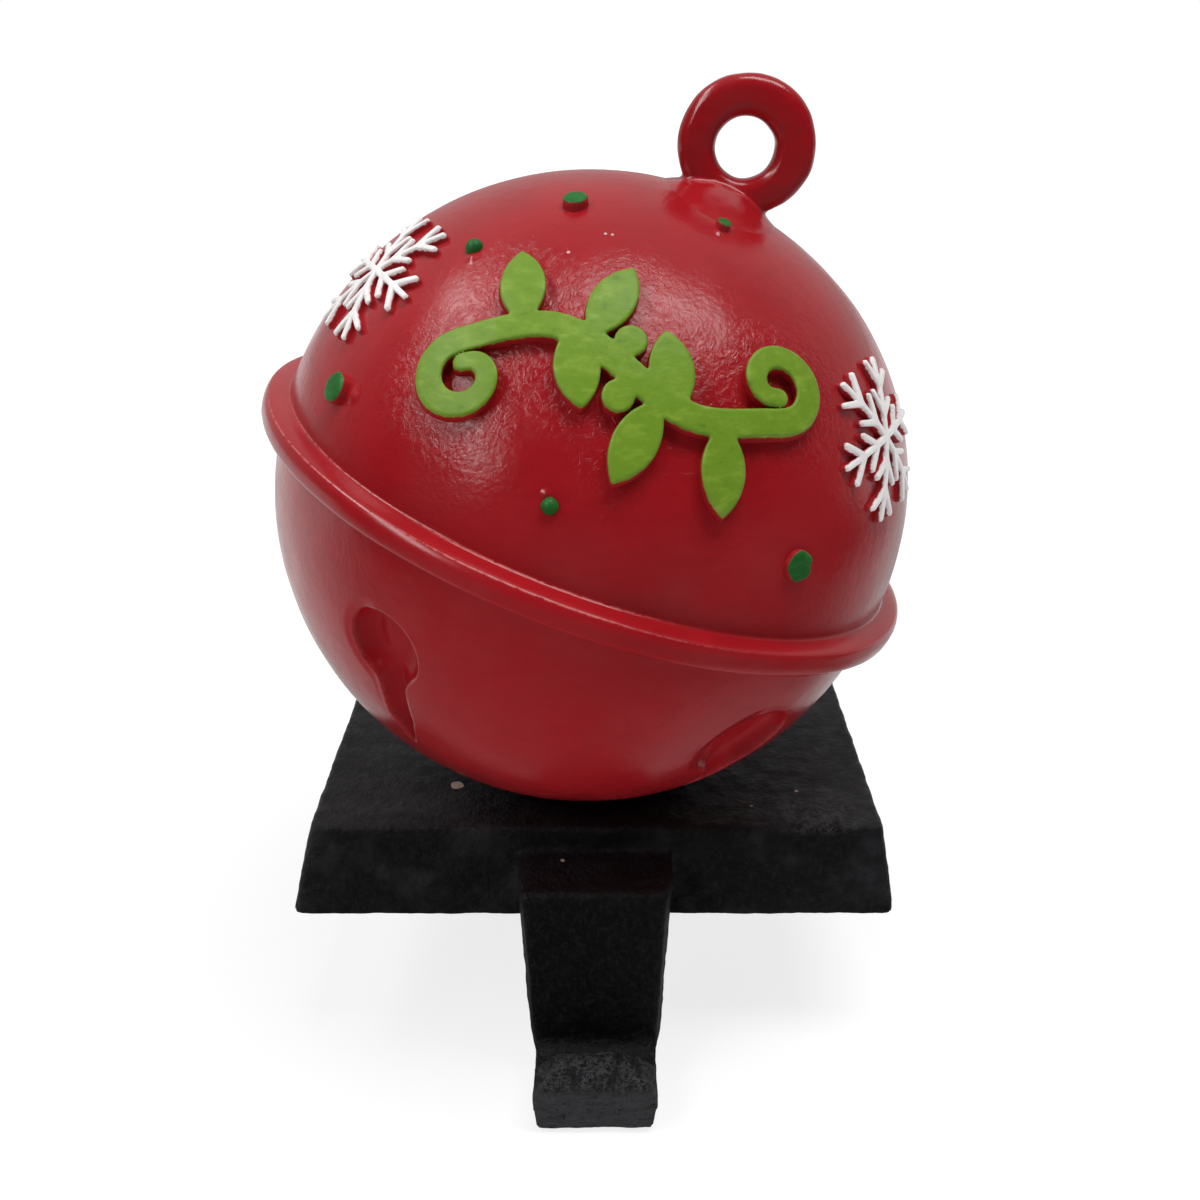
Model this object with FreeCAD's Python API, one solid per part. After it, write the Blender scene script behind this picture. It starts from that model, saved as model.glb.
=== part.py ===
import FreeCAD, Part
import math
import os

# Mantel stocking holder: a moulded sleigh bell, leaning to one side on a cast iron base whose
# front runs out into a flat strap that drops over the shelf edge and turns up into a hook.
# Units are millimetres. +Z is up, +Y points back over the shelf, the hook hangs at the front.
# The origin is the middle of the underside, where the pad lies on the shelf.

V = FreeCAD.Vector

# Driving sizes of the bell
BELL_R = 55.0
BELL_LEAN = 20.0
BELL_X = -1.4
BELL_SETBACK = 27.7
SEAT_DROP = 1.7
LOWER_HALF_DROP = 1.1

# Rim band round the bell's middle: heights from the bell's centre, and radii
RIM_R = 59.0
RIM_TOP_R = 58.3
RIM_BOTTOM_R = 57.9
RIM_TOP = 1.8
RIM_BOTTOM = -1.7
RIM_ROOT_TOP = 2.9
RIM_ROOT_BOTTOM = -2.7

# Hanging loop and the low collar that it grows out of
LOOP_OFF_AXIS = 3.5
LOOP_HEIGHT = 64.0
LOOP_MEAN_R = 8.05
LOOP_WIDTH = 5.8
LOOP_DEPTH = 6.4
LOOP_ROUND = 2.1
LOOP_TURN = -5.0
COLLAR_R = 10.4
COLLAR_TOP_R = 6.0
COLLAR_RISE = 1.8
COLLAR_ROOT = 4.0

# Keyhole recesses of the lower half: a round head above a slot that tapers to its tip
KEYHOLE_LAT = -31.4
KEYHOLE_LEAN = 8.0
KEYHOLE_HEAD_Y = 10.6
KEYHOLE_SLOT_X = 1.0
KEYHOLE_NECK_Y = 5.2
KEYHOLE_NECK_W = 5.4
KEYHOLE_WAIST_Y = -4.4
KEYHOLE_WAIST_W = 5.2
KEYHOLE_TIP_Y = -12.4
KEYHOLE_TIP_W = 1.4
KEYHOLE_DEPTH = 3.2

# Relief on the upper half
RELIEF_ROOT = 0.55
SPRIG_LON = -8.0
SPRIG_LAT = 36.0
SPRIG_RISE = 2.0
STEM_WIDTH = 4.0
STEM_END_WIDTH = 2.6
STEM_SAMPLES = 44
CURL_OUTER = 6.0
CURL_INNER = 2.1
CURL_TURNS = 1.05
CURL_START = 100.0
LEAF_WIDTH = 6.4
BERRY_R = 2.3
FLAKE_RISE = 1.2
FLAKE_TIP = 13.0
FLAKE_STROKE = 1.1
DOT_ROOT = 2.0

# Cast iron base
BASE_TOP_W = 103.4
BASE_TOP_D = 76.0
BASE_DRAFT = 2.8
BASE_DRAFT_LEFT = 4.0
BASE_T = 17.2
BASE_CORNER = 2.0
BASE_EDGE = 0.9
PAD_T = 1.2
PAD_MARGIN = 7.0
PAD_CORNER = 5.0

# Strap and hook, seen from the side
ARM_ROOT = 4.0
ARM_DROP = 4.6
ARM_T = 8.0
ARM_REACH = 13.5
ARM_ROUND = 1.2
STRAP_T = 6.0
STRAP_INSIDE_ROUND = 3.0
THROAT = 6.4
THROAT_FLOOR = 38.6
FLOOR_T = 6.3
LIP_T = 7.0
LIP_RISE = 6.6
LIP_SLOPE = 2.4
LIP_ROUND = 3.0
HEEL_ROUND = 8.0
TOE_ROUND = 1.6

# Strap and hook, seen from the front
STRAP_X = -0.3
STRAP_TOP_W = 27.5
STRAP_END_W = 24.4
STRAP_TOE_W = 22.6
STRAP_SIDE_DRAFT = 1.3
LIP_CROWN = 7.0
LIP_CROWN_W = 21.9

# Screw that holds the bell from beneath
SCREW_R = 2.4
SCREW_LENGTH = 34.0
SCREW_HEAD_R = 4.6
SCREW_HEAD_H = 2.6
SCREW_HOLE_R = 2.7
SCREW_POINT = 4.0
CROSS_LENGTH = 5.0
CROSS_WIDTH = 1.4
CROSS_DEPTH = 1.8

# Heights and places that follow
BASE_BOTTOM_Z = PAD_T
BASE_TOP_Z = BASE_BOTTOM_Z + BASE_T
BELL_Z = BASE_TOP_Z + BELL_R - SEAT_DROP + LOWER_HALF_DROP * math.cos(math.radians(BELL_LEAN))
BASE_FRONT_Y = -BASE_TOP_D / 2
BELL_Y = BASE_FRONT_Y + BELL_SETBACK
ARM_TOP_Z = BASE_TOP_Z - ARM_DROP
STRAP_FRONT_Y = BASE_FRONT_Y - ARM_REACH
LIP_BACK_Y = STRAP_FRONT_Y - THROAT
LIP_FRONT_Y = LIP_BACK_Y - LIP_T
FLOOR_Z = BASE_TOP_Z - THROAT_FLOOR
LIP_TOP_Z = FLOOR_Z + LIP_RISE
HOOK_BOTTOM_Z = FLOOR_Z - FLOOR_T

# Keyholes as longitude and radius of the head: longitude 0 faces the front and grows to the right
KEYHOLES = [
    (-28.5, 6.8),
    (43.5, 8.4),
    (115.5, 6.8),
    (187.5, 6.8),
    (259.5, 6.8),
]

# Flat-topped dots as longitude, latitude, radius and rise
DOTS = [
    (-43.4, 61.0, 1.9, 1.5),
    (9.6, 71.6, 1.2, 1.1),
    (-55.2, 12.9, 2.4, 1.4),
    (31.1, 15.2, 2.4, 0.9),
]

# Round beads as longitude, latitude, radius and rise
BEADS = [
    (-51.6, 42.6, 1.5, 1.3),
    (-10.9, 13.9, 1.4, 1.2),
]

# Snowflakes as longitude, latitude and turn of the first arm
FLAKES = [
    (-68.5, 31.0, 5.0),
    (53.5, 35.4, 18.0),
]

# Barbs of a snowflake's arm: the foot on the arm, then the tip along and beside it
BARBS = [
    (3.5, 6.6, 2.7),
    (8.0, 11.2, 3.0),
]

# One half of the sprig, in the plane that touches the bell there: leaves as foot, direction and
# length, a berry, and the middle of the curl. The other half is the same, turned half round.
LEAVES = [
    (V(-15.5, 1.6, 0), 112.0, 12.5),
    (V(-9.0, 3.0, 0), -62.0, 12.0),
    (V(-6.0, 2.6, 0), 82.0, 13.0),
]
BERRY = V(-0.6, 4.1, 0)
CURL_CENTRE = V(-20.6, -8.0, 0)
STEM_MIDDLE = [V(-11.5, 2.6, 0), V(0, 0, 0), V(11.5, -2.6, 0)]


def polar(radius, degrees):
    """Point in the XY plane at a radius and an angle."""
    angle = math.radians(degrees)
    return V(radius * math.cos(angle), radius * math.sin(angle), 0)


def on_bell(lon, lat, turn=0.0):
    """Placement on the bell's sphere: local Z points out, local Y towards the loop."""
    rotation = FreeCAD.Rotation(V(0, 0, 1), lon)
    rotation = rotation.multiply(FreeCAD.Rotation(V(1, 0, 0), 90 - lat))
    rotation = rotation.multiply(FreeCAD.Rotation(V(0, 0, 1), turn))
    return FreeCAD.Placement(V(0, 0, 0), rotation)


def placed(shape, placement):
    """Copy of a shape at a placement."""
    copy = shape.copy()
    copy.Placement = placement.multiply(copy.Placement)
    return copy


def polygon_face(points):
    """Face inside a closed run of straight edges."""
    return Part.Face(Part.makePolygon(points + [points[0]]))


def rounded_face(corners):
    """Face inside a closed run of straight edges, given as (point, radius of the corner)."""
    edges = []
    ends = []
    for index, (point, radius) in enumerate(corners):
        back = (corners[index - 1][0] - point).normalize()
        ahead = (corners[(index + 1) % len(corners)][0] - point).normalize()
        half = back.getAngle(ahead) / 2
        reach = radius / math.tan(half)
        middle = (back + ahead).normalize() * (radius / math.sin(half) - radius)
        ends.append((point + back * reach, point + ahead * reach))
        if radius > 0:
            edges.append(Part.Arc(ends[-1][0], point + middle, ends[-1][1]).toShape())
    for index, (start, _) in enumerate(ends):
        edges.append(Part.LineSegment(ends[index - 1][1], start).toShape())
    return Part.Face(Part.Wire(Part.__sortEdges__(edges)))


def stadium(start, end, radius):
    """Flat stroke with round ends between two points."""
    along = (end - start).normalize()
    side = V(-along.y, along.x, 0) * radius
    cap_end = Part.Arc(end + side, end + along * radius, end - side)
    cap_start = Part.Arc(start - side, start - along * radius, start + side)
    edges = [
        Part.LineSegment(start + side, end + side).toShape(),
        cap_end.toShape(),
        Part.LineSegment(end - side, start - side).toShape(),
        cap_start.toShape(),
    ]
    return Part.Face(Part.Wire(edges))


def leaf(foot, direction, length):
    """Pointed oval leaf made of two arcs."""
    tip = foot + polar(length, direction)
    middle = (foot + tip) * 0.5
    bulge = polar(LEAF_WIDTH / 2, direction + 90)
    edges = [
        Part.Arc(foot, middle + bulge, tip).toShape(),
        Part.Arc(tip, middle - bulge, foot).toShape(),
    ]
    return Part.Face(Part.Wire(edges))


def curl_points(count=9):
    """Spiral of the sprig's left end, from its inner end outward."""
    points = []
    for step in range(count):
        share = step / (count - 1)
        radius = CURL_INNER + (CURL_OUTER - CURL_INNER) * share
        angle = CURL_START + 360 * CURL_TURNS * (1 - share)
        points.append(CURL_CENTRE + polar(radius, angle))
    return points


def stem():
    """Stem of the sprig: an S curve that ends in a curl on each side."""
    left = curl_points()
    right = [point * -1 for point in reversed(left)]
    curve = Part.BSplineCurve()
    curve.interpolate(left + STEM_MIDDLE + right)
    sides = ([], [])
    first, last = curve.FirstParameter, curve.LastParameter
    for step in range(STEM_SAMPLES + 1):
        share = step / STEM_SAMPLES
        at = first + (last - first) * share
        along = curve.tangent(at)[0]
        half = (STEM_END_WIDTH + (STEM_WIDTH - STEM_END_WIDTH) * math.sin(math.pi * share)) / 2
        across = V(-along.y, along.x, 0).normalize() * half
        sides[0].append(curve.value(at) + across)
        sides[1].append(curve.value(at) - across)
    upper = Part.BSplineCurve()
    upper.interpolate(sides[0])
    lower = Part.BSplineCurve()
    lower.interpolate(list(reversed(sides[1])))
    start = curve.value(first) - curve.tangent(first)[0].normalize() * (STEM_END_WIDTH / 2)
    end = curve.value(last) + curve.tangent(last)[0].normalize() * (STEM_END_WIDTH / 2)
    edges = [
        upper.toShape(),
        Part.Arc(sides[0][-1], end, sides[1][-1]).toShape(),
        lower.toShape(),
        Part.Arc(sides[1][0], start, sides[0][0]).toShape(),
    ]
    return Part.Face(Part.Wire(edges))


def sprig():
    """Stem with the leaves and berries of both halves."""
    parts = [stem()]
    for foot, direction, length in LEAVES:
        parts += [leaf(foot, direction, length), leaf(foot * -1, direction + 180, length)]
    for centre in (BERRY, BERRY * -1):
        parts.append(Part.Face(Part.Wire(Part.makeCircle(BERRY_R, centre))))
    return parts


def snowflake():
    """Six arms, each with a pair of side barbs and a forked tip."""
    radius = FLAKE_STROKE / 2
    strokes = []
    for arm in range(6):
        angle = 60 * arm
        along = polar(1, angle)
        across = polar(1, angle + 90)
        strokes.append(stadium(V(0, 0, 0), along * (FLAKE_TIP - radius), radius))
        for foot, reach, spread in BARBS:
            for side in (-spread, spread):
                strokes.append(stadium(along * foot, along * reach + across * side, radius))
    return strokes


def joined(faces):
    """One outline from overlapping flat faces."""
    return faces[0].multiFuse(faces[1:]).removeSplitter()


def relief(outline, rise, placement):
    """Raised ornament: the outline pushed out through the bell, with a top that follows it."""
    block = outline.extrude(V(0, 0, BELL_R))
    block.translate(V(0, 0, BELL_R * RELIEF_ROOT))
    return placed(block, placement).common(Part.makeSphere(BELL_R + rise))


def dot(lon, lat, radius, rise):
    """Flat-topped dot that stands straight out of the bell."""
    post = Part.makeCylinder(radius, rise + DOT_ROOT, V(0, 0, BELL_R - DOT_ROOT))
    return placed(post, on_bell(lon, lat))


def bead(lon, lat, radius, rise):
    """Round bead sunk partly into the bell."""
    return placed(Part.makeSphere(radius, V(0, 0, BELL_R + rise - radius)), on_bell(lon, lat))


def body_of_revolution():
    """Bell with its rim band, turned about its own axis."""
    drop = LOWER_HALF_DROP
    slant = BELL_R * math.sin(math.radians(45))
    north = V(0, 0, BELL_R)
    south = V(0, 0, -BELL_R - drop)
    root_top = V(math.sqrt(BELL_R ** 2 - RIM_ROOT_TOP ** 2), 0, RIM_ROOT_TOP)
    root_bottom = V(math.sqrt(BELL_R ** 2 - (RIM_ROOT_BOTTOM + drop) ** 2), 0, RIM_ROOT_BOTTOM)
    edge_top = V(RIM_TOP_R, 0, RIM_TOP)
    edge_mid = V(RIM_R, 0, (RIM_TOP + RIM_BOTTOM) / 2)
    edge_bottom = V(RIM_BOTTOM_R, 0, RIM_BOTTOM)
    edges = [
        Part.LineSegment(south, north).toShape(),
        Part.Arc(north, V(slant, 0, slant), root_top).toShape(),
        Part.LineSegment(root_top, edge_top).toShape(),
        Part.Arc(edge_top, edge_mid, edge_bottom).toShape(),
        Part.LineSegment(edge_bottom, root_bottom).toShape(),
        Part.Arc(root_bottom, V(slant, 0, -slant - drop), south).toShape(),
    ]
    return Part.Face(Part.Wire(edges)).revolve(V(0, 0, 0), V(0, 0, 1), 360)


def beside_axis(shape):
    """Moves a shape from the bell's axis to the loop's place, a little to the right of it."""
    return placed(shape, on_bell(90, 90 - LOOP_OFF_AXIS, -90))


def collar():
    """Low cone that the loop grows out of."""
    foot = math.sqrt(BELL_R ** 2 - COLLAR_R ** 2)
    cone = Part.makeCone(COLLAR_R, COLLAR_TOP_R, BELL_R + COLLAR_RISE - foot, V(0, 0, foot))
    root = Part.makeCylinder(COLLAR_R, COLLAR_ROOT, V(0, 0, foot - COLLAR_ROOT))
    return beside_axis(cone.fuse(root))


def loop():
    """Hanging loop: a ring of rounded rectangular section."""
    ring = Part.makeCylinder(LOOP_MEAN_R + LOOP_WIDTH / 2, LOOP_DEPTH)
    ring = ring.cut(Part.makeCylinder(LOOP_MEAN_R - LOOP_WIDTH / 2, LOOP_DEPTH))
    rims = [edge for edge in ring.Edges if isinstance(edge.Curve, Part.Circle)]
    ring = ring.makeFillet(LOOP_ROUND, rims)
    ring.translate(V(0, 0, -LOOP_DEPTH / 2))
    ring.rotate(V(0, 0, 0), V(1, 0, 0), 90)
    ring.rotate(V(0, 0, 0), V(0, 0, 1), LOOP_TURN)
    ring.translate(V(0, 0, LOOP_HEIGHT))
    return beside_axis(ring)


def keyhole(head_radius):
    """Cutter for one recess: a round head that runs down into a tapering slot beside its middle."""
    head = Part.Face(Part.Wire(Part.makeCircle(head_radius, V(0, KEYHOLE_HEAD_Y, 0))))
    half_widths = [
        (KEYHOLE_NECK_Y, KEYHOLE_NECK_W / 2),
        (KEYHOLE_WAIST_Y, KEYHOLE_WAIST_W / 2),
        (KEYHOLE_TIP_Y, KEYHOLE_TIP_W / 2),
    ]
    right = [V(KEYHOLE_SLOT_X + half, y, 0) for y, half in half_widths]
    left = [V(KEYHOLE_SLOT_X - half, y, 0) for y, half in reversed(half_widths)]
    block = joined([head, polygon_face(right + left)]).extrude(V(0, 0, BELL_R))
    block.translate(V(0, 0, BELL_R * RELIEF_ROOT))
    return block.cut(Part.makeSphere(BELL_R - KEYHOLE_DEPTH))


def jingle_bell():
    """The moulded bell in its place on the base."""
    bell = body_of_revolution()
    for lon, head_radius in KEYHOLES:
        recess = placed(keyhole(head_radius), on_bell(lon, KEYHOLE_LAT, KEYHOLE_LEAN))
        recess.translate(V(0, 0, -LOWER_HALF_DROP))
        bell = bell.cut(recess)
    flake = joined(snowflake())
    raised = [relief(joined(sprig()), SPRIG_RISE, on_bell(SPRIG_LON, SPRIG_LAT))]
    raised += [relief(flake, FLAKE_RISE, on_bell(*row)) for row in FLAKES]
    raised += [dot(*row) for row in DOTS]
    raised += [bead(*row) for row in BEADS]
    raised += [collar(), loop()]
    bell = bell.multiFuse(raised)
    bell.rotate(V(0, 0, 0), V(0, 1, 0), BELL_LEAN)
    bell.translate(V(BELL_X, BELL_Y, BELL_Z))
    seat = Part.makeBox(BELL_R, BELL_R, BASE_T, V(BELL_X - BELL_R / 2, BELL_Y - BELL_R / 2, BASE_BOTTOM_Z))
    return bell.cut(seat).cut(screw_shank())


def base_outline(left, right, depth, z):
    """Rectangle of the slab at one height."""
    corner = V(-BASE_TOP_W / 2 - left, -depth / 2, z)
    return Part.makePlane(BASE_TOP_W + left + right, depth, corner).OuterWire


def base_block():
    """Flat slab whose four sides slope outward towards the shelf."""
    bottom = base_outline(BASE_DRAFT_LEFT, BASE_DRAFT, BASE_TOP_D + 2 * BASE_DRAFT, BASE_BOTTOM_Z)
    top = base_outline(0, 0, BASE_TOP_D, BASE_TOP_Z)
    slab = Part.makeLoft([bottom, top], True, True)
    corners = [edge for edge in slab.Edges if edge.BoundBox.ZLength > BASE_T / 2]
    slab = slab.makeFillet(BASE_CORNER, corners)
    rims = [edge for edge in slab.Edges if edge.BoundBox.ZMin > BASE_TOP_Z - BASE_EDGE / 2]
    return slab.makeFillet(BASE_EDGE, rims)


def hook_profile():
    """Side view of arm, strap and hook, as one face in the YZ plane."""
    inside = BASE_FRONT_Y + ARM_ROOT
    strap_back = STRAP_FRONT_Y + STRAP_T
    arm_under = ARM_TOP_Z - ARM_T
    bend = THROAT * 0.49
    return rounded_face([
        (V(0, inside, ARM_TOP_Z), 0),
        (V(0, STRAP_FRONT_Y, ARM_TOP_Z), ARM_ROUND),
        (V(0, STRAP_FRONT_Y, FLOOR_Z), bend),
        (V(0, LIP_BACK_Y, FLOOR_Z), bend),
        (V(0, LIP_BACK_Y, LIP_TOP_Z), LIP_ROUND / 2),
        (V(0, LIP_FRONT_Y, LIP_TOP_Z - LIP_SLOPE), LIP_ROUND),
        (V(0, LIP_FRONT_Y, HOOK_BOTTOM_Z), TOE_ROUND),
        (V(0, strap_back, HOOK_BOTTOM_Z), HEEL_ROUND),
        (V(0, strap_back, arm_under), STRAP_INSIDE_ROUND),
        (V(0, inside, arm_under), 0),
    ])


def strap_section(width, z):
    """Plan of the strap at one height: its sides lean in from the back to the front face."""
    half = width / 2
    front_half = half - STRAP_SIDE_DRAFT
    front = LIP_FRONT_Y - 1
    back = STRAP_FRONT_Y + STRAP_T
    left = [V(-half, 0, z), V(-half, back, z), V(-front_half, STRAP_FRONT_Y, z), V(-front_half, front, z)]
    right = [V(-point.x, point.y, z) for point in reversed(left)]
    return Part.makePolygon(left + right + [left[0]])


def lip_trim():
    """Cutter that leaves the hook's lip with a half-oval top."""
    start = LIP_BACK_Y + 1
    depth = LIP_T + 2
    springing = LIP_TOP_Z - LIP_CROWN
    oval = Part.Ellipse(V(0, 0, 0), LIP_CROWN_W / 2, LIP_CROWN).toShape()
    oval = Part.Face(Part.Wire(oval)).extrude(V(0, 0, depth))
    oval.rotate(V(0, 0, 0), V(1, 0, 0), 90)
    oval.translate(V(0, start, springing))
    block = Part.makeBox(STRAP_TOP_W, depth, LIP_CROWN + 1, V(-STRAP_TOP_W / 2, start - depth, springing))
    return block.cut(oval)


def hook():
    """Arm, strap and hook: the side profile trimmed to a strap that narrows downward."""
    blank = hook_profile().extrude(V(STRAP_TOP_W, 0, 0))
    blank.translate(V(-STRAP_TOP_W / 2, 0, 0))
    top = strap_section(STRAP_TOP_W, ARM_TOP_Z)
    middle = strap_section(STRAP_END_W, FLOOR_Z)
    bottom = strap_section(STRAP_TOE_W, HOOK_BOTTOM_Z)
    strap = blank.common(Part.makeLoft([top, middle, bottom], True, True))
    strap = strap.cut(lip_trim())
    strap.translate(V(STRAP_X, 0, 0))
    return strap


def base_and_hook():
    """Iron casting: slab, strap and hook in one piece, bored for the screw."""
    casting = base_block().fuse(hook()).removeSplitter()
    hole = Part.makeCylinder(SCREW_HOLE_R, BASE_T, V(BELL_X, BELL_Y, BASE_BOTTOM_Z))
    sink = Part.makeCone(SCREW_HEAD_R, SCREW_HOLE_R, SCREW_HEAD_H, V(BELL_X, BELL_Y, BASE_BOTTOM_Z))
    return casting.cut(hole.fuse(sink))


def screw_shank():
    """Shank and point of the screw, which also bores the bell."""
    foot = V(BELL_X, BELL_Y, BASE_BOTTOM_Z)
    shank = Part.makeCylinder(SCREW_R, SCREW_LENGTH, foot)
    return shank.fuse(Part.makeCone(SCREW_R, 0, SCREW_POINT, foot + V(0, 0, SCREW_LENGTH)))


def bell_screw():
    """Countersunk screw with a cross slot, driven up into the bell."""
    foot = V(BELL_X, BELL_Y, BASE_BOTTOM_Z)
    screw = screw_shank().fuse(Part.makeCone(SCREW_HEAD_R, SCREW_R, SCREW_HEAD_H, foot))
    for along_x, along_y in ((CROSS_LENGTH, CROSS_WIDTH), (CROSS_WIDTH, CROSS_LENGTH)):
        corner = foot - V(along_x / 2, along_y / 2, 0)
        screw = screw.cut(Part.makeBox(along_x, along_y, CROSS_DEPTH, corner))
    return screw


def mantel_pad():
    """Thin cushion pad glued under the base, with rounded corners."""
    width = BASE_TOP_W + 2 * BASE_DRAFT - 2 * PAD_MARGIN
    depth = BASE_TOP_D + 2 * BASE_DRAFT - 2 * PAD_MARGIN
    pad = Part.makeBox(width, depth, PAD_T, V(-width / 2, -depth / 2, 0))
    corners = [edge for edge in pad.Edges if edge.BoundBox.ZLength > PAD_T / 2]
    return pad.makeFillet(PAD_CORNER, corners)


def export(name, shape):
    """Writes one piece as one solid."""
    solids = shape.Solids
    print(name, "solids", len(solids), "valid", shape.isValid(), "cm3", round(shape.Volume / 1000, 2))
    solids[0].exportStep("parts/" + name + ".step")


os.makedirs("parts", exist_ok=True)
export("base_and_hook", base_and_hook())
export("jingle_bell", jingle_bell())
export("bell_screw", bell_screw())
export("mantel_pad", mantel_pad())
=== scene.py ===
import math

import bpy
import numpy as np
from mathutils import Matrix, Vector, noise


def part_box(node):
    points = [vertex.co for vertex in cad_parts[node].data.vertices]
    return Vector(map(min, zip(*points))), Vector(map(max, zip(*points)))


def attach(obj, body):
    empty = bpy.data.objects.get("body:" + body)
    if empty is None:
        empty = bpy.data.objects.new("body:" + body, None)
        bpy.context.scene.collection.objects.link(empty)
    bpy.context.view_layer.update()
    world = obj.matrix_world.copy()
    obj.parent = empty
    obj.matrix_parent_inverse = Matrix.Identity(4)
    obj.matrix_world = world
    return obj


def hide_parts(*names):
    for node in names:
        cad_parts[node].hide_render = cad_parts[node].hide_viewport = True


# Mantel stocking holder: a red moulded sleigh bell, leaning to the right, on a black cast iron base
# with a strap and hook in front. Lengths in this script are millimetres until they reach a mesh.

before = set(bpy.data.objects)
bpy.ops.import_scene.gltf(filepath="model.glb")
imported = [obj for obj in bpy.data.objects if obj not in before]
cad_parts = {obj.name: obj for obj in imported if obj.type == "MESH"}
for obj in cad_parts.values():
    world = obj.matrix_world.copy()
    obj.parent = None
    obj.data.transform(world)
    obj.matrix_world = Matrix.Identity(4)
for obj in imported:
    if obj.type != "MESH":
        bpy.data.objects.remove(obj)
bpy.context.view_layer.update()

MM = 0.001
BODY = "root"

# Places read from the frame
BASE_LOW, BASE_HIGH = (Vector(corner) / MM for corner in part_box("base_and_hook"))
PAD_HIGH = Vector(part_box("mantel_pad")[1]) / MM
SCREW_LOW, SCREW_HIGH = (Vector(corner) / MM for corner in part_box("bell_screw"))

# The bell: ball radius, lean to the right, and how much lower the centre of its lower half lies
BALL_R = 55.0
LEAN = math.radians(20.0)
LOWER_DROP = 1.1
BALL_X = (SCREW_LOW.x + SCREW_HIGH.x) / 2
BALL_Y = (SCREW_LOW.y + SCREW_HIGH.y) / 2
SEAT_Z = BASE_HIGH.z
SEAT_DROP = 1.7
BALL = Vector((BALL_X, BALL_Y, SEAT_Z + BALL_R - SEAT_DROP + LOWER_DROP * math.cos(LEAN)))
TO_WORLD = Matrix.Translation(BALL) @ Matrix.Rotation(LEAN, 4, "Y")

# Where the moulding is fuller than a ball: longitude, latitude, spread in degrees, rise
SWELL = (75.0, 40.0, 30.0, 1.4)

# Rim band: (radius, height) of its section in the bell's own frame, from the dome down, and the
# name of a thin line of wear and painted highlight that runs there
RIM_SECTION = [
    (54.86, 3.9), (54.90, 3.3), (54.93, 3.06), (54.97, 2.95, "crease"), (55.03, 2.86, "crease"),
    (55.12, 2.78), (55.35, 2.70), (56.2, 2.62), (57.3, 2.48), (58.1, 2.30), (58.32, 2.22),
    (58.44, 2.14, "ridge"), (58.53, 2.04, "ridge"), (58.60, 1.92), (58.76, 1.56), (58.89, 1.15),
    (58.97, 0.6), (58.95, -0.1), (58.86, -0.8), (58.66, -1.32), (58.48, -1.54),
    (58.38, -1.62, "under"), (58.27, -1.69, "under"), (58.1, -1.76), (57.3, -1.95), (56.2, -2.15),
    (55.4, -2.35), (55.02, -2.6), (54.95, -3.1),
]

# Worn lines that also serve as painted highlights, full on the left and fading towards the right
# Each line as longitudes where it appears, is full, starts to fade and has gone, and strength
RIM_LINES = {
    "crease": (-80.0, -55.0, -5.0, 22.0, 0.40),
    "ridge": (-85.0, -60.0, -15.0, 38.0, 0.46),
    "under": (-95.0, -80.0, -55.0, -20.0, 0.50),
}

# Hanging loop and its collar, a little to the right of the bell's own axis
LOOP_OFF_AXIS = math.radians(3.5)
LOOP_HEIGHT = 64.0
LOOP_OUTER_R = 11.0
LOOP_HOLE_R = 4.75
LOOP_HOLE_DROP = 0.45
LOOP_DEPTH = 6.4
LOOP_ROUND = 2.1
LOOP_TURN = math.radians(-5.0)
COLLAR_SIDE = 10.0
COLLAR_FRONT = 16.0
COLLAR_BACK = 11.0
COLLAR_RISE = 2.1
COLLAR_CREST = 0.34

# Skin of the loop, and the line of wear and painted highlight where the ring meets the collar
LOOP_SKIN = 0.34
LOOP_LUMP = 0.07
LOOP_WEAR_AND_HIGHLIGHT = 0.5
CREASE_OFF = 0.25
CREASE_WIDTH = 0.28

# Keyhole recesses as longitude, radius of the head and wear with painted highlight on the rim, then
# their shape in the plane that touches the ball there: the slot's middle and half width down to its tip
KEYHOLES = [
    (-28.5, 6.8, 0.34), (43.5, 8.4, 0.0), (115.5, 6.8, 0.0), (187.5, 6.8, 0.0), (259.5, 6.8, 0.0),
]
KEYHOLE_LAT = -31.4
KEYHOLE_LEAN = 8.0
KEYHOLE_HEAD_Y = 10.6
KEYHOLE_SLOT = [(1.0, 5.2, 2.7), (1.0, -4.4, 2.6), (1.2, -11.7, 0.7)]
KEYHOLE_FILLET = 1.6
KEYHOLE_DEPTH = 3.2
KEYHOLE_SCOOP = 4.0

# The keyhole's rolled left edge, as height and reach, and the thin line of wear and painted highlight
# all round it
KEYHOLE_ROLL = 0.35
KEYHOLE_ROLL_REACH = 1.8
KEYHOLE_WEAR_AND_HIGHLIGHT = 0.04
KEYHOLE_LINE_WIDTH = 0.16

# Raised ornaments: the sprig and the snowflakes, with longitude and latitude, and the flakes' turn
SPRIG_PLACE = (-8.0, 36.0)
SPRIG_RISE = 2.0
FLAKE_RISE = 1.2
FLAKE_TIP = 13.0
FLAKE_STROKE = 0.54
FLAKE_STROKE_END = 0.43
FLAKES = [(-69.2, 30.3, 5.0), (53.5, 35.4, 18.0)]
BARBS = [(3.5, 6.6, 2.7), (8.0, 11.2, 3.0)]

# Flat-topped dots, round beads and low blobs of red paint as longitude, latitude, radius and rise
DOTS = [(-46.0, 60.8, 1.9, 1.5), (9.6, 71.6, 1.2, 1.1), (-55.2, 12.9, 2.4, 1.4), (31.1, 15.2, 2.4, 0.9)]
BEADS = [(-52.4, 43.6, 1.4, 1.3), (-10.9, 13.9, 1.25, 1.2)]
BLOBS = [
    (-50.0, 42.0, 1.5, 0.30), (7.0, 69.2, 1.1, 0.35), (-51.4, 13.6, 1.9, 0.35), (-12.0, 15.3, 1.3, 0.25),
]

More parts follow.
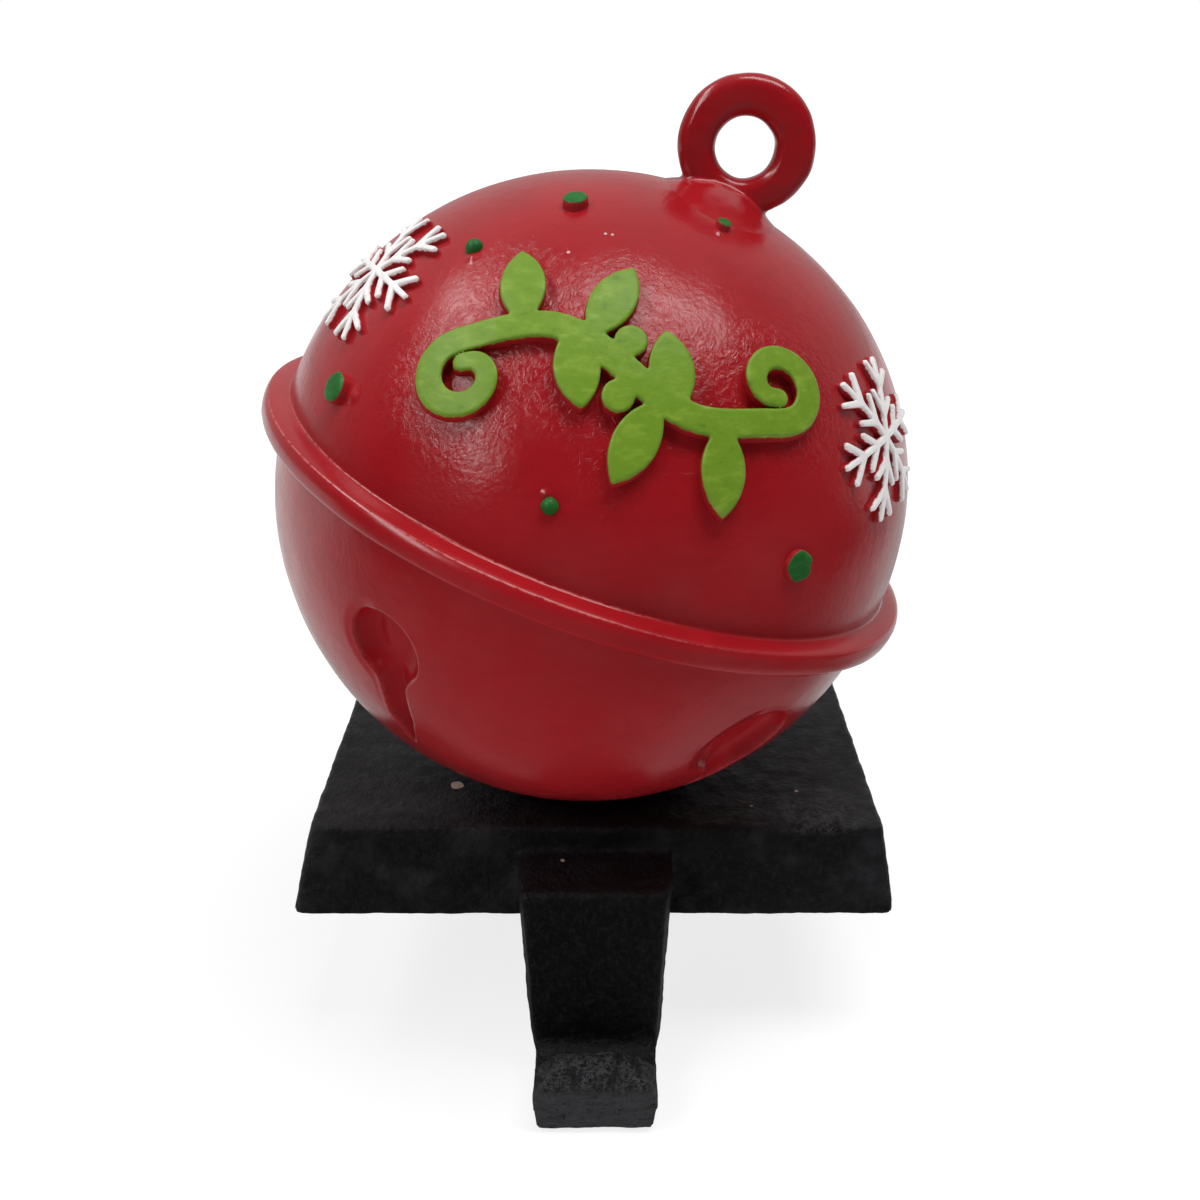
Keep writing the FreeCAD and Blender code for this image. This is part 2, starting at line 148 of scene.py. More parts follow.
# Bite out of the right-hand dot, and out of the blob of the same number: that number in the list,
# direction in degrees, share and spread
BITTEN_DOT = 3
BITE_DIRECTION = 8.0
BITE_SHARE = 0.22
BITE_SPREAD = 15.0


# Small helpers

def smooth_step(low, high, value):
    """0 below low, 1 above high and eased between, on arrays."""
    share = np.clip((value - low) / (high - low), 0.0, 1.0)
    return share * share * (3 - 2 * share)


def turn_matrix(lon, lat, turn=0.0):
    """Columns: right, up and outward directions at a place on the ball, in the bell's frame."""
    lon, lat, turn = (math.radians(angle) for angle in (lon, lat, turn))
    rotation = Matrix.Rotation(lon, 3, "Z") @ Matrix.Rotation(math.pi / 2 - lat, 3, "X")
    return np.array(rotation @ Matrix.Rotation(turn, 3, "Z"))


def lumps(points, scale, seed, octaves=2):
    """Soft noise at points in millimetres, about -1 to 1."""
    offset = Vector((seed * 17.3, seed * 5.1, seed * 9.7))
    return np.array([
        noise.fractal(Vector(point) / scale + offset, 1.0, 2.0, octaves) for point in points
    ])


def to_world(points):
    """Points of the bell's frame to metres in the row's frame, on the swollen ball."""
    outward = points / np.maximum(np.linalg.norm(points, axis=1), 1.0)[:, None]
    lon, lat, spread, height = SWELL
    away = np.degrees(np.arccos(np.clip(outward @ turn_matrix(lon, lat)[:, 2], -1.0, 1.0)))
    rise = height * np.exp(-0.5 * (away / spread) ** 2)
    rotation = np.array(TO_WORLD.to_3x3())
    return ((points + outward * rise[:, None]) @ rotation.T + np.array(BALL)) * MM


def new_object(name, data):
    """New object in the scene."""
    piece = bpy.data.objects.new(name, data)
    bpy.context.scene.collection.objects.link(piece)
    return piece


def mesh_object(name, points, faces, material):
    """New piece from points in metres and faces, riding on the one body."""
    mesh = bpy.data.meshes.new(name)
    mesh.from_pydata(points.tolist(), [], faces)
    mesh.validate()
    mesh.update()
    mesh.shade_smooth()
    mesh.materials.append(material)
    piece = new_object(name, mesh)
    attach(piece, BODY)
    return piece


def add_attribute(piece, name, values):
    """Point attribute that a material reads."""
    attribute = piece.data.attributes.new(name, "FLOAT", "POINT")
    attribute.data.foreach_set("value", np.asarray(values, dtype=np.float32))


def band(above, below, around):
    """Faces between two closed rings of points, which start at these numbers."""
    faces = []
    for index in range(around):
        ahead = (index + 1) % around
        faces.append([above + index, below + index, below + ahead, above + ahead])
    return faces


# Distances to flat shapes, negative inside

def capsule(x, y, start, end, radius_start, radius_end):
    """Distance to a stroke with round ends, whose half width changes along it."""
    ax, ay = end[0] - start[0], end[1] - start[1]
    share = ((x - start[0]) * ax + (y - start[1]) * ay) / (ax * ax + ay * ay)
    share = np.clip(share, 0.0, 1.0)
    reach = np.hypot(x - start[0] - share * ax, y - start[1] - share * ay)
    return reach - (radius_start + (radius_end - radius_start) * share)


def soft_union(a, b, blend):
    """Union of two distances with a small fillet where they meet."""
    share = np.clip(0.5 + 0.5 * (b - a) / blend, 0.0, 1.0)
    return b * (1 - share) + a * share - blend * share * (1 - share)


def keyhole_distance(x, y, head_radius):
    """Distance to a keyhole: a round head above a slot that narrows to its tip."""
    head = np.hypot(x, y - KEYHOLE_HEAD_Y) - head_radius
    parts = []
    for (x_a, y_a, half_a), (x_b, y_b, half_b) in zip(KEYHOLE_SLOT, KEYHOLE_SLOT[1:]):
        parts.append(capsule(x, y, (x_a, y_a), (x_b, y_b), half_a, half_b))
    return soft_union(head, np.minimum(*parts), KEYHOLE_FILLET)


def flake_distance(x, y):
    """Distance to a snowflake of six arms with barbs and a forked tip."""
    result = None
    for arm in range(6):
        angle = math.radians(60 * arm)
        along = (math.cos(angle), math.sin(angle))
        across = (-along[1], along[0])
        tip = FLAKE_TIP - FLAKE_STROKE
        strokes = [((0.0, 0.0), (along[0] * tip, along[1] * tip))]
        for foot, reach, spread in BARBS:
            for side in (-spread, spread):
                start = (along[0] * foot, along[1] * foot)
                end = tuple(along[axis] * reach + across[axis] * side for axis in range(2))
                strokes.append((start, end))
        for start, end in strokes:
            distance = capsule(x, y, start, end, FLAKE_STROKE, FLAKE_STROKE_END)
            result = distance if result is None else soft_union(result, distance, 0.25)
    return result


# The leafy sprig: an S-shaped stem that ends in curls, with leaves and berries on both sides
STEM_WIDTH = 4.0
STEM_END_WIDTH = 2.6
CURL_OUTER = 6.0
CURL_INNER = 2.1
CURL_TURNS = 1.05
CURL_START = 100.0
CURL_CENTRE = (-20.6, -8.0)
STEM_MIDDLE = [(-11.5, 2.6), (0.0, 0.0), (11.5, -2.6)]
LEAF_WIDTH = 6.4
LEAVES = [((-15.5, 1.6), 112.0, 12.5), ((-9.0, 3.0), -62.0, 12.0), ((-6.0, 2.6), 82.0, 13.0)]
BERRY = (-0.6, 4.1)
BERRY_R = 2.3


def curl_points(count=9):
    """Spiral of the sprig's left end, from its inner end outward."""
    points = []
    for step in range(count):
        share = step / (count - 1)
        radius = CURL_INNER + (CURL_OUTER - CURL_INNER) * share
        angle = math.radians(CURL_START + 360 * CURL_TURNS * (1 - share))
        x = CURL_CENTRE[0] + radius * math.cos(angle)
        y = CURL_CENTRE[1] + radius * math.sin(angle)
        points.append((x, y))
    return points


def natural_spline(points, per_span=8):
    """Smooth curve through points: a cubic spline on the length of its chords."""
    points = np.array(points)
    chords = np.hypot(*np.diff(points, axis=0).T)
    count = len(points)
    system = np.eye(count)
    target = np.zeros((count, 2))
    for row in range(1, count - 1):
        before, after = chords[row - 1], chords[row]
        system[row, row - 1:row + 2] = (before / 6, (before + after) / 3, after / 6)
        slope_after = (points[row + 1] - points[row]) / after
        slope_before = (points[row] - points[row - 1]) / before
        target[row] = slope_after - slope_before
    bend = np.linalg.solve(system, target)
    curve = []
    for row in range(count - 1):
        span = chords[row]
        for step in range(per_span):
            right = step / per_span
            left = 1 - right
            pull = (left ** 3 - left) * bend[row] + (right ** 3 - right) * bend[row + 1]
            curve.append(left * points[row] + right * points[row + 1] + pull * span ** 2 / 6)
    curve.append(points[-1])
    return np.array(curve)


def leaf_distance(x, y, foot, degrees, length):
    """Distance to a pointed oval leaf made of two arcs."""
    angle = math.radians(degrees)
    radius = (length ** 2 + LEAF_WIDTH ** 2) / (4 * LEAF_WIDTH)
    middle_x = foot[0] + length / 2 * math.cos(angle)
    middle_y = foot[1] + length / 2 * math.sin(angle)
    back = radius - LEAF_WIDTH / 2
    sides = []
    for side in (-1, 1):
        centre_x = middle_x + side * back * math.sin(angle)
        centre_y = middle_y - side * back * math.cos(angle)
        sides.append(np.hypot(x - centre_x, y - centre_y) - radius)
    return np.maximum(*sides)


def sprig_distance(x, y):
    """Distance to the whole sprig."""
    left = curl_points()
    right = [(-px, -py) for px, py in reversed(left)]
    curve = natural_spline(left + STEM_MIDDLE + right)
    result = np.full(np.shape(x), 1e3)
    for step in range(len(curve) - 1):
        half = []
        for index in (step, step + 1):
            swell = math.sin(math.pi * index / (len(curve) - 1))
            half.append((STEM_END_WIDTH + (STEM_WIDTH - STEM_END_WIDTH) * swell) / 2)
        result = np.minimum(result, capsule(x, y, curve[step], curve[step + 1], *half))
    turned = [((-foot[0], -foot[1]), degrees + 180, length) for foot, degrees, length in LEAVES]
    for foot, degrees, length in LEAVES + turned:
        result = soft_union(result, leaf_distance(x, y, foot, degrees, length), 0.5)
    for side in (-1, 1):
        berry = np.hypot(x - side * BERRY[0], y - side * BERRY[1]) - BERRY_R
        result = soft_union(result, berry, 0.5)
    return result


# Mesh of a raised ornament

def cap_cells(field, xs, ys):
    """Polygons of the area where the field is negative, cut exactly along its edge."""
    rows, columns = field.shape
    points = []
    known = {}

    def number(first, second, share):
        """Number of the point at a share of the way between two corners of the grid."""
        if (first, second) not in known:
            (row_a, column_a), (row_b, column_b) = first, second
            known[first, second] = len(points)
            points.append((
                xs[column_a] + share * (xs[column_b] - xs[column_a]),
                ys[row_a] + share * (ys[row_b] - ys[row_a]),
            ))
        return known[first, second]

    faces = []
    inside = field < 0
    for row in range(rows - 1):
        for column in range(columns - 1):
            ring = [(row, column), (row, column + 1), (row + 1, column + 1), (row + 1, column)]
            face = []
            for here, ahead in zip(ring, ring[1:] + ring[:1]):
                if inside[here]:
                    face.append(number(here, here, 0.0))
                if inside[here] != inside[ahead]:
                    first, second = sorted((here, ahead))
                    share = field[first] / (field[first] - field[second])
                    face.append(number(first, second, share))
            if face:
                faces.append(face)
    return np.array(points), faces


def open_edges(faces):
    """Directed edges that only one face uses."""
    used = {edge: True for face in faces for edge in zip(face, face[1:] + face[:1])}
    return [(a, b) for a, b in used if (b, a) not in used]


def gradient(distance, points, step=0.05):
    """Unit direction in which the distance grows, at flat points."""
    x, y = points.T
    gx = distance(x + step, y) - distance(x - step, y)
    gy = distance(x, y + step) - distance(x, y - step)
    length = np.maximum(np.hypot(gx, gy), 1e-9)
    return np.stack([gx / length, gy / length], axis=1)


def relief_mesh(distance, reach, step, rise, shoulder, wave, seed):
    """Cap and wall of an ornament as (x, y, height) rows, and faces."""
    xs, ys = (np.arange(-half, half + step, step) for half in reach)
    grid_x, grid_y = np.meshgrid(xs, ys)
    field = distance(grid_x, grid_y)
    clear = 0.12 * step
    field = np.where(np.abs(field) < clear, np.where(field < 0, -clear, clear), field)
    flat, faces = cap_cells(field, xs, ys)
    depth = np.clip(-distance(*flat.T) / shoulder, 0.0, 1.0)
    height = rise - 0.8 * shoulder * (1 - np.sqrt(1 - (1 - depth) ** 2))
    spots = np.column_stack([flat, np.zeros(len(flat))])
    height = height + wave * lumps(spots, 2.6, seed) * depth
    rim = open_edges(faces)
    rim_points = sorted({index for edge in rim for index in edge})
    outward = gradient(distance, flat[rim_points])
    wall_rows = [(0.03, 0.5 * rise), (0.10, 0.05 * rise), (0.22, -0.12), (0.25, -0.5)]
    rows = [np.column_stack([flat, height])]
    total = len(flat)
    above = {index: index for index in rim_points}
    for out, level in wall_rows:
        ring = flat[rim_points] + outward * out
        rows.append(np.column_stack([ring, np.full(len(ring), level)]))
        below = {index: total + place for place, index in enumerate(rim_points)}
        for first, second in rim:
            faces.append([above[second], above[first], below[first], below[second]])
        above = below
        total += len(ring)
    return np.concatenate(rows), faces


def on_ball(rows, axes):
    """Flat (x, y, height) rows wrapped on the ball, as points of the bell's frame."""
    x, y, height = rows.T
    reach = np.sqrt(np.maximum((BALL_R + height) ** 2 - x ** 2 - y ** 2, 0.0))
    return np.column_stack([x, y, reach]) @ axes.T


# Materials

def feed(node, inputs):
    """Gives a node its inputs: one that is a socket is linked, any other is set."""
    for name, value in inputs.items():
        if isinstance(value, bpy.types.NodeSocket):
            node.id_data.links.new(value, node.inputs[name])
        else:
            node.inputs[name].default_value = value


def add(owner, kind, inputs=None, **settings):
    """New shader node, with its settings and inputs, in a tree or in the tree of a socket."""
    node = owner.id_data.nodes.new(kind)
    for name, value in settings.items():
        setattr(node, name, value)
    feed(node, inputs or {})
    return node


def empty_tree(owner):
    """Node tree of a new material or world, without its first nodes."""
    owner.use_nodes = True
    owner.node_tree.nodes.clear()
    return owner.node_tree


def start_material(name):
    """New material, with its object coordinates and surface shader."""
    material = bpy.data.materials.new(name)
    tree = empty_tree(material)
    place = add(tree, "ShaderNodeTexCoord").outputs["Object"]
    shader = add(tree, "ShaderNodeBsdfPrincipled")
    add(tree, "ShaderNodeOutputMaterial", {"Surface": shader.outputs["BSDF"]})
    return material, place, shader


def stretched(place, scale):
    """Coordinates scaled along each axis, which draws noise out along the axes of small scale."""
    return add(place, "ShaderNodeMapping", {"Vector": place, "Scale": scale}).outputs["Vector"]


def grain(place, size, detail=2.0, roughness=0.5, distortion=0.0):
    """Noise whose bumps are about that many millimetres apart."""
    inputs = {"Vector": place, "Scale": 1 / (size * MM), "Detail": detail, "Roughness": roughness,
              "Distortion": distortion}
    return add(place, "ShaderNodeTexNoise", inputs).outputs["Fac"]


def ramp(value, low, high, to_low=0.0, to_high=1.0):
    """Value carried from one range to another, eased and clamped."""
    inputs = {"Value": value, "From Min": low, "From Max": high, "To Min": to_low, "To Max": to_high}
    node = add(value, "ShaderNodeMapRange", inputs, interpolation_type="SMOOTHSTEP")
    return node.outputs["Result"]


def blend_colour(share, first, second):
    """Mix of two colours, each a socket or a plain colour."""
    first, second = ((*end, 1.0) if isinstance(end, tuple) else end for end in (first, second))
    inputs = {0: share, 6: first, 7: second}
    return add(share, "ShaderNodeMix", inputs, data_type="RGBA").outputs[2]


def calculate(operation, *values):
    """Arithmetic on values, at least one of them a socket."""
    owner = next(value for value in values if isinstance(value, bpy.types.NodeSocket))
    node = add(owner, "ShaderNodeMath", dict(enumerate(values)), operation=operation)
    return node.outputs["Value"]


def times(first, second):
    """Product of two values."""
    return calculate("MULTIPLY", first, second)


def bump(heights):
    """Bump from (height, depth in millimetres) pairs, one over the other."""
    normal = None
    for height, depth in heights:
        inputs = {"Height": height, "Distance": depth * MM, "Strength": 1.0}
        if normal is not None:
            inputs["Normal"] = normal
        normal = add(height, "ShaderNodeBump", inputs).outputs["Normal"]
    return normal


def read_attribute(place, name):
    """Value of a point attribute."""
    return add(place, "ShaderNodeAttribute", attribute_name=name).outputs["Fac"]


def part_of(place, axis):
    """One part of coordinates: X, Y or Z."""
    return add(place, "ShaderNodeSeparateXYZ", {"Vector": place}).outputs[axis]


def distance_to(place, point):
    """Distance from coordinates to a point in metres."""
    node = add(place, "ShaderNodeVectorMath", {0: place, 1: point}, operation="DISTANCE")
    return node.outputs["Value"]


def marks(place, spots, ragged=0.25):
    """1 inside small uneven round spots, given as (x, y, z, radius) in the row's frame."""
    total = None
    wobble = grain(place, 0.8)
    for x, y, z, radius in spots:
        away = distance_to(place, (x * MM, y * MM, z * MM))
        sway, least = radius * MM * ragged * 2, radius * MM * (1 - ragged)
        uneven = calculate("MULTIPLY_ADD", wobble, sway, least)
        inside = calculate("LESS_THAN", away, uneven)
        total = inside if total is None else calculate("MAXIMUM", total, inside)
    return total


# Colours, linear
RED = (0.335, 0.0090, 0.0134)
RED_DEEP = (0.268, 0.0064, 0.0102)
RED_WEAR_AND_HIGHLIGHT = (0.60, 0.19, 0.18)
RED_SPECK = (0.62, 0.40, 0.38)
LIME = (0.138, 0.252, 0.017)
LIME_LIGHT = (0.205, 0.325, 0.034)
LIME_DARK = (0.090, 0.180, 0.015)
WHITE = (0.80, 0.78, 0.77)
WHITE_LIGHT = (0.86, 0.85, 0.84)
WHITE_THIN = (0.62, 0.52, 0.53)
GREEN = (0.010, 0.105, 0.014)
GREEN_LIGHT = (0.022, 0.165, 0.030)
GREEN_DARK = (0.010, 0.085, 0.024)
IRON = (0.0046, 0.0044, 0.0056)
IRON_DUST = (0.028, 0.027, 0.031)
IRON_BROKEN_GLINT = (0.078, 0.076, 0.080)
LIP_DUST_AND_SHEEN = (0.046, 0.046, 0.050)
CHIP = (0.62, 0.50, 0.40)
FOAM = (0.020, 0.020, 0.022)
FOAM_LIGHT = (0.032, 0.032, 0.034)
STEEL = (0.52, 0.52, 0.54)
STEEL_DULL = (0.40, 0.40, 0.41)


def red_colour(place):
    """Brushed red paint: slightly uneven, deeper in places."""
    broad = ramp(grain(place, 24.0, 3.0), 0.35, 0.70)
    streaks = stretched(place, (1.0, 1.0, 3.5))
    brush = ramp(grain(streaks, 5.0, 4.0, 0.6), 0.30, 0.75)
    share = calculate("ADD", times(broad, 0.55), times(brush, 0.35))
    return blend_colour(share, RED, RED_DEEP)


def red_bump(place):
    """Orange peel and fine stipple of the red paint, weaker where it is smooth, with brush ripples."""
    rough = calculate("SUBTRACT", 1.0, read_attribute(place, "smooth"))
    peel = times(grain(place, 2.6, 2.0), rough)
    stipple = times(grain(place, 0.8, 3.0, 0.6), rough)
    ripples = times(grain(place, 1.5, 4.0, 0.6, 1.2), read_attribute(place, "brushed"))
    return bump([(peel, 0.05), (stipple, 0.05), (ripples, 0.21)])


def red_paint(name, specks):
    """Satin red paint over the moulding, pink on the edges as wear and painted highlight lines, with
    painted shade and less gloss in the recesses.
    """
    material, place, shader = start_material(name)
    recess = read_attribute(place, "recess")
    # Painted shade: the red darkens in the recesses
    colour = blend_colour(times(recess, 0.7), red_colour(place), RED_DEEP)
    # Pale lines along the edges: worn paint, and painted highlights where the edges catch the light
    broken = ramp(grain(place, 1.0, 3.0), 0.36, 0.50)
    worn_and_lit = times(read_attribute(place, "edge"), broken)
    colour = blend_colour(worn_and_lit, colour, RED_WEAR_AND_HIGHLIGHT)
    feed(shader, {
        "Base Color": blend_colour(marks(place, specks), colour, RED_SPECK),
        "Roughness": ramp(grain(place, 9.0, 3.0), 0.3, 0.7, 0.18, 0.26),
        "Specular IOR Level": ramp(recess, 0.0, 1.0, 0.5, 0.12),
        "Normal": red_bump(place),
    })
    return material


def ornament_paint(name, main, light, dark, edge_low, edge_high):
    """Hand-painted top of an ornament; the paint stops unevenly near the top edge, over red sides."""
    material, place, shader = start_material(name)
    strokes = stretched(place, (1.0, 1.0, 2.2))
    brush = grain(strokes, 3.2, 4.0, 0.65)
    colour = blend_colour(ramp(brush, 0.45, 0.75), main, light)
    colour = blend_colour(ramp(brush, 0.42, 0.25), colour, dark)
    uneven = ramp(grain(place, 0.9, 2.0), 0.3, 0.7, -0.10, 0.10)
    height = calculate("ADD", read_attribute(place, "height"), uneven)
    painted = ramp(height, edge_low, edge_high)
    bristles = (grain(strokes, 1.4, 3.0), 0.05)
    specks = (grain(place, 0.45, 2.0), 0.012)
    feed(shader, {
        "Base Color": blend_colour(painted, red_colour(place), colour),
        "Roughness": 0.42,
        "Specular IOR Level": 0.28,
        "Normal": bump([bristles, specks]),
    })
    return material


def iron_paint(name, chips):
    """Black paint over a sandy iron casting, dusty, with bright crests where it is broken, also painted
    glints, a lip face paler with dust and painted sheen, and chips.
    """
    material, place, shader = start_material(name)
    broken = read_attribute(place, "broken")
    dust = ramp(grain(place, 7.0, 5.0, 0.65), 0.42, 0.74, 0.0, 0.65)
    dust = times(dust, read_attribute(place, "dusty"))
    upright = stretched(place, (1.0, 1.0, 0.5))
    speckle = ramp(grain(upright, 0.6, 3.0, 0.6), 0.48, 0.66, 0.0, 0.32)
    colour = blend_colour(calculate("MAXIMUM", dust, speckle), IRON, IRON_DUST)

    # Lighter grey over the lip's front face: dust, and a painted sheen where the face catches light
    level = stretched(place, (0.4, 1.0, 1.6))
    lip_face_dust_and_sheen = ramp(part_of(place, "Y"), (BASE_LOW.y + 4.5) * MM, (BASE_LOW.y + 0.5) * MM)
    lip_face_dust_and_sheen = times(lip_face_dust_and_sheen, ramp(grain(level, 1.4, 4.0, 0.7), 0.34, 0.52, 0.6, 1.0))
    lip_face_dust_and_sheen = times(lip_face_dust_and_sheen, ramp(grain(place, 0.6, 2.0), 0.30, 0.38))
    lip_face_dust_and_sheen = times(lip_face_dust_and_sheen, ramp(broken, 0.0, 1.0, 1.0, 0.25))
    colour = blend_colour(lip_face_dust_and_sheen, colour, LIP_DUST_AND_SHEEN)

    # Bright crests where the paint is broken and scuffed: broken paint, drawn as painted glints
    off_crest = calculate("SUBTRACT", grain(place, 0.8, 4.0, 0.6), 0.5)
    glinting_crests = ramp(calculate("ABSOLUTE", off_crest), 0.01, 0.09, 1.0, 0.0)
    glinting_crests = times(glinting_crests, ramp(grain(place, 2.4, 3.0, 0.7), 0.36, 0.58))
    colour = blend_colour(times(glinting_crests, broken), colour, IRON_BROKEN_GLINT)

    bumps = (grain(place, 3.6, 3.0, 0.6), 0.50)
    sand = (grain(place, 1.0, 4.0, 0.7), 0.46)
    jagged = (times(grain(place, 1.3, 4.0, 0.75), broken), 1.4)
    feed(shader, {
        "Base Color": blend_colour(marks(place, chips), colour, CHIP),
        "Roughness": ramp(grain(place, 3.0, 3.0), 0.3, 0.7, 0.40, 0.56),
        "Specular IOR Level": 0.28,
        "Normal": bump([bumps, sand, jagged]),
    })
    return material


def foam_material(name):
    """Fine closed-cell foam."""
    material, place, shader = start_material(name)
    inputs = {"Vector": place, "Scale": 1 / (0.7 * MM)}
    cells = add(place, "ShaderNodeTexVoronoi", inputs).outputs["Distance"]
    share = ramp(grain(place, 6.0, 3.0), 0.3, 0.7)
    feed(shader, {
        "Base Color": blend_colour(share, FOAM, FOAM_LIGHT),
        "Roughness": 0.85,
        "Normal": bump([(cells, 0.08)]),
    })
    return material


def steel_material(name):
    """Zinc plated steel with turning marks."""
    material, place, shader = start_material(name)
    share = ramp(grain(place, 2.0, 3.0), 0.3, 0.7)
    feed(shader, {
        "Base Color": blend_colour(share, STEEL, STEEL_DULL),
        "Metallic": 1.0,
        "Roughness": 0.32,
        "Normal": bump([(grain(place, 0.5, 2.0), 0.02)]),
    })
    return material


# Specks and chips that the photograph shows, as (x, y, z, radius) in the row's frame
BELL_SPECKS = [
    (3.2, -64.6, 60.4, 0.32), (3.0, -62.0, 52.2, 0.22),
    (1.4, -36.2, 121.5, 0.26), (2.4, -36.3, 121.4, 0.26), (-4.0, -39.7, 119.3, 0.26),
]
IRON_CHIPS = [
    (-26.5, -24.0, SEAT_Z, 1.2), (28.5, -31.0, SEAT_Z, 0.28), (37.5, -26.0, SEAT_Z, 0.34),
    (-6.1, -41.3, SEAT_Z - 4.6, 0.42),
]

red = red_paint("bell_red_paint", BELL_SPECKS)
lime = ornament_paint("sprig_lime_paint", LIME, LIME_LIGHT, LIME_DARK, 0.62, 0.80)
white = ornament_paint("snowflake_white_paint", WHITE, WHITE_LIGHT, WHITE_THIN, 0.45, 0.70)
green = ornament_paint("dot_green_paint", GREEN, GREEN_LIGHT, GREEN_DARK, 0.70, 0.86)
iron = iron_paint("cast_iron_black_paint", IRON_CHIPS)
foam = foam_material("foam_pad_material")
steel = steel_material("screw_steel")


# Bell body

# Columns, in degrees: half the fine zone at a keyhole, the step in it where the photograph shows
# it and elsewhere, and how many columns lie between two such zones
KEYHOLE_REACH = 12.8
FINE_STEP = 0.30
COARSE_STEP = 0.50
OPEN_COLUMNS = 18

# Latitudes in degrees of the rows above and below the rim: from, to and step
UPPER_ROWS = [(88.0, 60.0, 2.0), (60.0, 5.0, 1.5)]
LOWER_ROWS = [(-3.2, -10.0, 0.9), (-10.0, -46.0, FINE_STEP), (-46.0, -53.0, 1.0), (-53.0, -89.0, 2.0)]
BELL_LUMP = 0.07

# How much smoother than the ball's the paint of the rim band and of the loop is
SMOOTHED = 0.8

# Brush ripples beside the sprig: how far from it they are full, and where they end
RIPPLES_FULL = 1.5
RIPPLES_END = 8.0


def bell_columns():
    """Longitudes round the bell, close together at each keyhole."""
    spacing = 360 / len(KEYHOLES)
    longitudes = []
    for middle, *_ in KEYHOLES:
        step = FINE_STEP if middle < 90 else COARSE_STEP
        fine = np.arange(middle - KEYHOLE_REACH, middle + KEYHOLE_REACH, step)
        start = middle + KEYHOLE_REACH
        end = middle + spacing - KEYHOLE_REACH
        longitudes += [*fine, *np.linspace(start, end, OPEN_COLUMNS, endpoint=False)]
    return np.radians(longitudes)


def ball_rows(spans, drop):
    """(radius, height) rows of the ball down spans of latitude."""
    latitudes = np.radians(np.concatenate([np.arange(start, end, -step) for start, end, step in spans]))
    return [(BALL_R * math.cos(lat), BALL_R * math.sin(lat) - drop) for lat in latitudes]


def line_wear_and_highlight(line, longitudes):
    """How strongly a row's line of wear and painted highlight, if it has one, shows at each longitude,
    in radians.
    """
    if not line:
        return np.zeros(len(longitudes))
    appears, full, fades, gone, strength = RIM_LINES[line[0]]
    degrees = (np.degrees(longitudes) + 180) % 360 - 180
    return strength * smooth_step(appears, full, degrees) * (1 - smooth_step(fades, gone, degrees))


def press_keyhole(points, wear_and_highlight, recess, lon, head_radius, rim_wear_and_highlight):
    """Pushes one keyhole into the lower half and draws grid points onto its outline."""
    axes = turn_matrix(lon, KEYHOLE_LAT, KEYHOLE_LEAN)
    drop = np.array([0.0, 0.0, LOWER_DROP])
    local = (points + drop) @ axes
    near = (local[:, 2] > 40) & (np.abs(local[:, 0]) < 11) & (np.abs(local[:, 1]) < 21)
    x, y = local[near, 0], local[near, 1]

    def outline(at_x, at_y):
        return keyhole_distance(at_x, at_y, head_radius)

    away = outline(x, y)
    pull = np.where(np.abs(away) < FINE_STEP / 2, away, 0.0)
    direction = gradient(outline, np.column_stack([x, y]))
    x = x - pull * direction[:, 0]
    y = y - pull * direction[:, 1]
    away = outline(x, y)
    inside = np.clip(-away / KEYHOLE_SCOOP, 0.0, 1.0)
    depth = KEYHOLE_DEPTH * (1 - (1 - inside) ** 2) ** 0.7
    rolled = smooth_step(-1.0, -4.0, x) * smooth_step(-6.0, 0.0, y)
    depth = depth + KEYHOLE_ROLL * rolled * smooth_step(KEYHOLE_ROLL_REACH, 0.0, away)
    original = np.linalg.norm(local[near], axis=1)
    local[near, 0] = x
    local[near, 1] = y
    local[near, 2] = np.sqrt((original - depth) ** 2 - x ** 2 - y ** 2)
    points[near] = local[near] @ axes.T - drop
    # Thin pale line round the outline, wear and painted highlight, fuller at the head's right side
    right_rim = smooth_step(0.5, 2.0, x) * (1 - smooth_step(1.0, 4.0, y))
    rim = (KEYHOLE_WEAR_AND_HIGHLIGHT + rim_wear_and_highlight * right_rim) * np.exp(-(away / KEYHOLE_LINE_WIDTH) ** 2)
    wear_and_highlight[near] = np.maximum(wear_and_highlight[near], rim)
    # How far inside the recess a point lies, where the paint is darkened as painted shade
    recess[near] = np.maximum(recess[near], smooth_step(0.0, -0.8, away))


